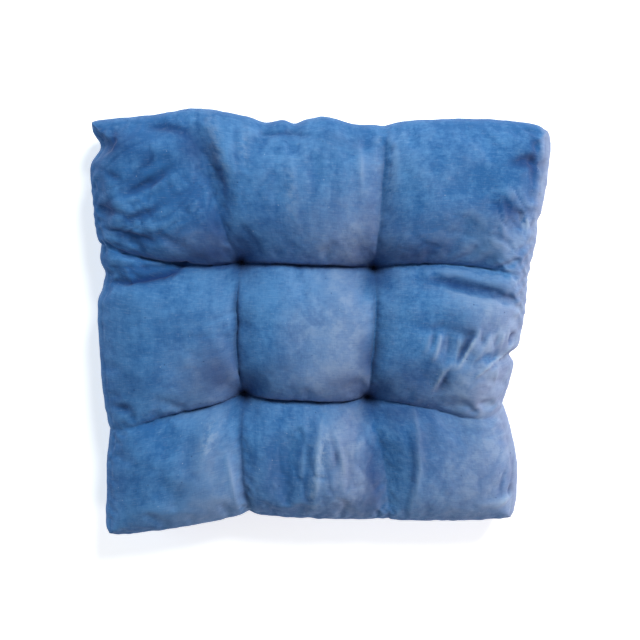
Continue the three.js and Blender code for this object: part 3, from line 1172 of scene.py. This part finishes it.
# Threads to the metre, and number and length of the thick ones
THREADS = 1500.0
SLUB_THREADS = 900.0
SLUB_LENGTH = 0.009

# Noise over the cloth: scale, detail and roughness
CLOUDS = (14.0, 3.0, 0.6)
BLOTCHES = (70.0, 4.0, 0.65)
GRAIN = (240.0, 3.0, 0.7)
PATCHES = (38.0, 3.0, 0.6)
CHAFED_SPOTS = (62.0, 3.0, 0.6)
BARE_SPOTS = (150.0, 4.0, 0.7)
WRINKLES = (160.0, 3.0, 0.6)

# Streaks of the dye: scale across and along, and detail
UPRIGHT = (95.0, 24.0, 3.0)
LEVEL = (22.0, 90.0, 3.0)

# How far the dye is worn everywhere, its grain at the left, and what the right has more
WEAR = 0.29
GRAININESS = (1.3, 0.9)

# Pale and dark threads: noise where they begin and where they show in full, and how much
PALE_THREADS = (0.52, 0.68, 0.08)
DARK_THREADS = (0.48, 0.34, 0.22)

# Specks of lint: scale, size and how much they show
PALE_SPECKS = (70.0, 0.045, 0.4)
DARK_SPECKS = (60.0, 0.06, 0.55)

# Lines along the seam: millimetres inside it, scale of their gaps, noise where they begin
# and where they show in full, and how much
STITCHED_LINE = (0.0, 45.0, 0.42, 0.6, 0.15)
PALE_LIP = (1.9, 60.0, 0.5, 0.7, 0.12)

# Where the lines along the seam begin and where they show in full, in metres from the
# middle and above the surface, how much stronger they are below, and their half width
SEAM_ENDS = (0.165, 0.185)
SEAM_BELOW = (0.030, 0.020)
BELOW_STRENGTH = 2.5
SEAM_LINE = (1.1, 0.2)

# Strength and depth in metres of the finest wrinkles and of the weave
WRINKLE_BUMP = (0.35, 0.0012)
WEAVE_BUMP = (0.45, 0.00035)

# How much of the shade shows in small folds and in hollows
SUNK_SHADE = 0.50
HOLLOW_SHADE = 0.84


class Linen(Graph):
    """Nodes of the cover's cloth, with the values that several of its parts read."""

    def __init__(self, material):
        super().__init__(material)
        self.across, self.along, _ = self.parts(self.node("UVMap", {}, uv_map="thread")[0])
        self.flat = self.place(self.across, self.along)
        self.right, _, self.up = self.parts(self.node("TexCoord", {})["Object"])
        self.toward_right = self.ramp(self.right, -0.20, 0.20)
        self.clouds = self.noise(self.flat, *CLOUDS)
        self.weft = self.streaks(1 / SLUB_LENGTH, SLUB_THREADS, 2.0)
        self.warp = self.streaks(SLUB_THREADS, 1 / SLUB_LENGTH, 2.0)
        self.seam = self.attribute("seam")
        self.crest = self.most(self.attribute("crest"), 0.0)
        fold = self.attribute("fold")
        self.raised = self.most(fold, 0.0)
        self.sunk = self.most(self.times(fold, -1.0), 0.0)

    def streaks(self, across, along, detail):
        place = self.place(self.times(self.across, across), self.times(self.along, along))
        return self.noise(place, 1.0, detail, 0.6)


def wear_and_painted_light(g):
    """Wear of the dye and painted light and shade, by what swings to both sides and what adds."""
    grain, more = GRAININESS
    swinging = [
        (g.clouds, 0.8),
        (g.noise(g.flat, *BLOTCHES), 1.3),
        (g.noise(g.flat, *GRAIN), g.add(g.times(g.toward_right, more), grain)),
        (g.streaks(*UPRIGHT), 1.2),
        (g.streaks(*LEVEL), 1.0),
    ]
    adding = [
        (g.toward_right, 0.15),
        (g.ramp(g.noise(g.flat, *PATCHES), 0.42, 0.60), 0.12),
        (g.crest, 0.45),
        (g.raised, 0.30),
    ]
    parts = [g.times(g.add(noise, -0.5), share) for noise, share in swinging]
    parts += [g.times(value, share) for value, share in adding]
    return g.least(g.most(g.add(g.attribute("worn_and_painted_light"), *parts, WEAR), 0.0), 1.0)


def greyness_and_painted_light(g):
    """How far the dye has gone grey, with painted light greying most of all what faces the side
    lamp.
    """
    # Painted light: paler and greyer where the cloth faces the side lamp at the right
    normal = g.node("NewGeometry", {})["Normal"]
    facing = g.node("VectorMath", {0: normal, 1: PAINTED_LIGHT_SIDE}, operation="DOT_PRODUCT")["Value"]
    facing_side_lamp = g.ramp(facing, 0.15, 0.85)
    high = g.times(g.add(g.crest, g.raised), g.toward_right, 0.2)
    painted_side_light = g.times(facing_side_lamp, g.add(g.times(g.toward_right, 0.3), 0.1))
    return g.most(g.add(g.attribute("grey_and_painted_light"), high, painted_side_light), 0.0)


def dye_with_painted_light(g):
    """The dye where worn, grey and chafed along high places, with painted light, and painted shade
    in low ones.
    """
    grey_and_painted_light = greyness_and_painted_light(g)
    colour = g.blend(wear_and_painted_light(g), DEEP_DYE, WORN_DYE)
    colour = g.blend(g.times(grey_and_painted_light, g.add(g.clouds, 0.45)), colour, GREY_DYE)
    spots = g.ramp(g.noise(g.flat, *CHAFED_SPOTS), 0.42, 0.66)
    chafed = g.times(spots, g.least(grey_and_painted_light, 0.6), 0.60)
    chalky = g.times(g.raised, g.least(g.times(grey_and_painted_light, 1.8), 1.0), 0.80)
    bare = g.ramp(g.noise(g.flat, *BARE_SPOTS), 0.36, 0.62)
    rubbed = g.times(g.attribute("rubbed"), bare)
    colour = g.blend(g.most(g.most(chafed, chalky), rubbed), colour, CHAFED_DYE)
    # Painted shade in the bottoms of the small folds
    return g.blend(g.times(g.sunk, SUNK_SHADE), colour, PAINTED_SHADE_COLOUR)


def with_threads(g, colour):
    """Adds pale and dark threads and specks of lint to a colour."""
    thick = g.add(g.times(g.weft, 0.7), g.times(g.warp, 0.3))
    for (low, high, share), tint in ((PALE_THREADS, LINT), (DARK_THREADS, DEEP_DYE)):
        colour = g.blend(g.times(g.ramp(thick, low, high), share), colour, tint)
    turned = g.place(g.along, g.across)
    specks = [(g.flat, PALE_SPECKS, LINT), (turned, DARK_SPECKS, DARK_LINT)]
    for place, (scale, size, share), tint in specks:
        colour = g.blend(g.times(g.specks(place, scale, size), share), colour, tint)
    return colour


def with_seam(g, colour):
    """Adds the seam's lines to a colour, at the left and right and under the cushion."""
    ends = g.ramp(g.size(g.right), *SEAM_ENDS)
    shown = g.most(ends, g.ramp(g.up, *SEAM_BELOW, 0.0, BELOW_STRENGTH))
    for (inside, scale, low, high, share), tint in ((STITCHED_LINE, DARK_LINT), (PALE_LIP, LINT)):
        line = g.ramp(g.size(g.add(g.seam, -inside)), *SEAM_LINE)
        broken = g.ramp(g.noise(g.flat, scale), low, high)
        colour = g.blend(g.times(line, broken, shown, share), colour, tint)
    return colour


def relief(g):
    """The weave on top of the finest wrinkles."""
    turn = THREADS * 2 * math.pi
    over, under = (g.math("SINE", g.times(way, turn)) for way in (g.across, g.along))
    weave = g.times(over, under, 0.15)
    threads = g.add(weave, g.times(g.weft, 0.9), g.times(g.warp, 0.5))
    wrinkled = g.bump(g.noise(g.flat, *WRINKLES), *WRINKLE_BUMP)
    return g.bump(threads, *WEAVE_BUMP, wrinkled)


def set_inputs(node, values):
    for name, value in values.items():
        node.inputs[name].default_value = value


def cloth_material():
    material = bpy.data.materials.new("washed_blue_linen")
    linen = Linen(material)
    colour = with_seam(linen, with_threads(linen, dye_with_painted_light(linen)))
    # Painted shade in the channels, round the tufts, and in the shaded places and folds
    painted_shade = linen.times(linen.attribute("painted_shade"), HOLLOW_SHADE)
    inputs = linen.shader.inputs
    linen.put(inputs["Base Color"], linen.blend(painted_shade, colour, PAINTED_SHADE_COLOUR))
    linen.put(inputs["Normal"], relief(linen))
    linen.put(inputs["Roughness"], linen.ramp(linen.weft, 0.3, 0.7, 0.95, 0.82))
    set_inputs(linen.shader, {
        "Specular IOR Level": 0.15,
        "Sheen Weight": 0.12,
        "Sheen Roughness": 0.5,
        "Sheen Tint": (0.85, 0.85, 1.0, 1),
    })
    return material


cushion, middle = cushion_piece()
cushion.data.materials.append(cloth_material())
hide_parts(NODE)
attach(cushion, "root")


# Lights: name, place, size, power and colour, and what all of them are turned to
LIGHTS = [
    ("key", (0.75, 1.45, 1.55), 0.8, 59.5, (0.96, 1.0, 0.98)),
    ("side", (1.75, -0.8, 0.75), 0.8, 19, (1.0, 0.88, 0.92)),
    ("fill", (-1.7, 0.2, 0.7), 1.0, 10.5, (0.50, 0.78, 1.0)),
]
LIT_PLACE = (0, 0, 0.04)
WORLD_LIGHT = 0.20

# The camera looks down at the face, tilted a little towards the far edge
TILT = math.radians(8.0)
DISTANCE = 1.0
AIM_HEIGHT = 0.035
MM_PER_PIXEL = 0.935
IMAGE = 640
SENSOR = 36.0


def add_floor():
    mesh = bpy.data.meshes.new("floor")
    half = 3.0
    corners = [(-half, -half, 0), (half, -half, 0), (half, half, 0), (-half, half, 0)]
    mesh.from_pydata(corners, [], [(0, 1, 2, 3)])
    floor = add_object("floor", mesh)
    material = bpy.data.materials.new("floor_white")
    material.use_nodes = True
    set_inputs(material.node_tree.nodes["Principled BSDF"], {
        "Base Color": (0.9, 0.9, 0.9, 1),
        "Roughness": 0.9,
        "Emission Color": (1, 1, 1, 1),
        "Emission Strength": 0.55,
    })
    mesh.materials.append(material)


def add_light(name, place, size, power, colour):
    data = bpy.data.lights.new(name, "AREA")
    data.shape = "DISK"
    data.size = size
    data.energy = power
    data.color = colour
    lamp = add_object(name, data)
    lamp.location = place
    lamp.rotation_euler = (Vector(LIT_PLACE) - Vector(place)).to_track_quat("-Z", "Y").to_euler()


def light_world():
    world = bpy.data.worlds.new("studio")
    bpy.context.scene.world = world
    world.use_nodes = True
    background = world.node_tree.nodes["Background"]
    set_inputs(background, {"Color": (1, 1, 1, 1), "Strength": WORLD_LIGHT})


def add_camera(target):
    data = bpy.data.cameras.new("camera")
    data.sensor_width = SENSOR
    data.lens = SENSOR * DISTANCE / (MM_PER_PIXEL * MM * IMAGE)
    camera = add_object("camera", data)
    camera.location = target + Vector((0, math.sin(TILT), math.cos(TILT))) * DISTANCE
    camera.rotation_euler = (-TILT, 0, 0)
    bpy.context.scene.camera = camera


add_floor()
for light in LIGHTS:
    add_light(*light)
light_world()
add_camera(Vector((-middle[0] * MM, -middle[1] * MM, AIM_HEIGHT)))
bpy.context.scene.view_settings.view_transform = "Standard"
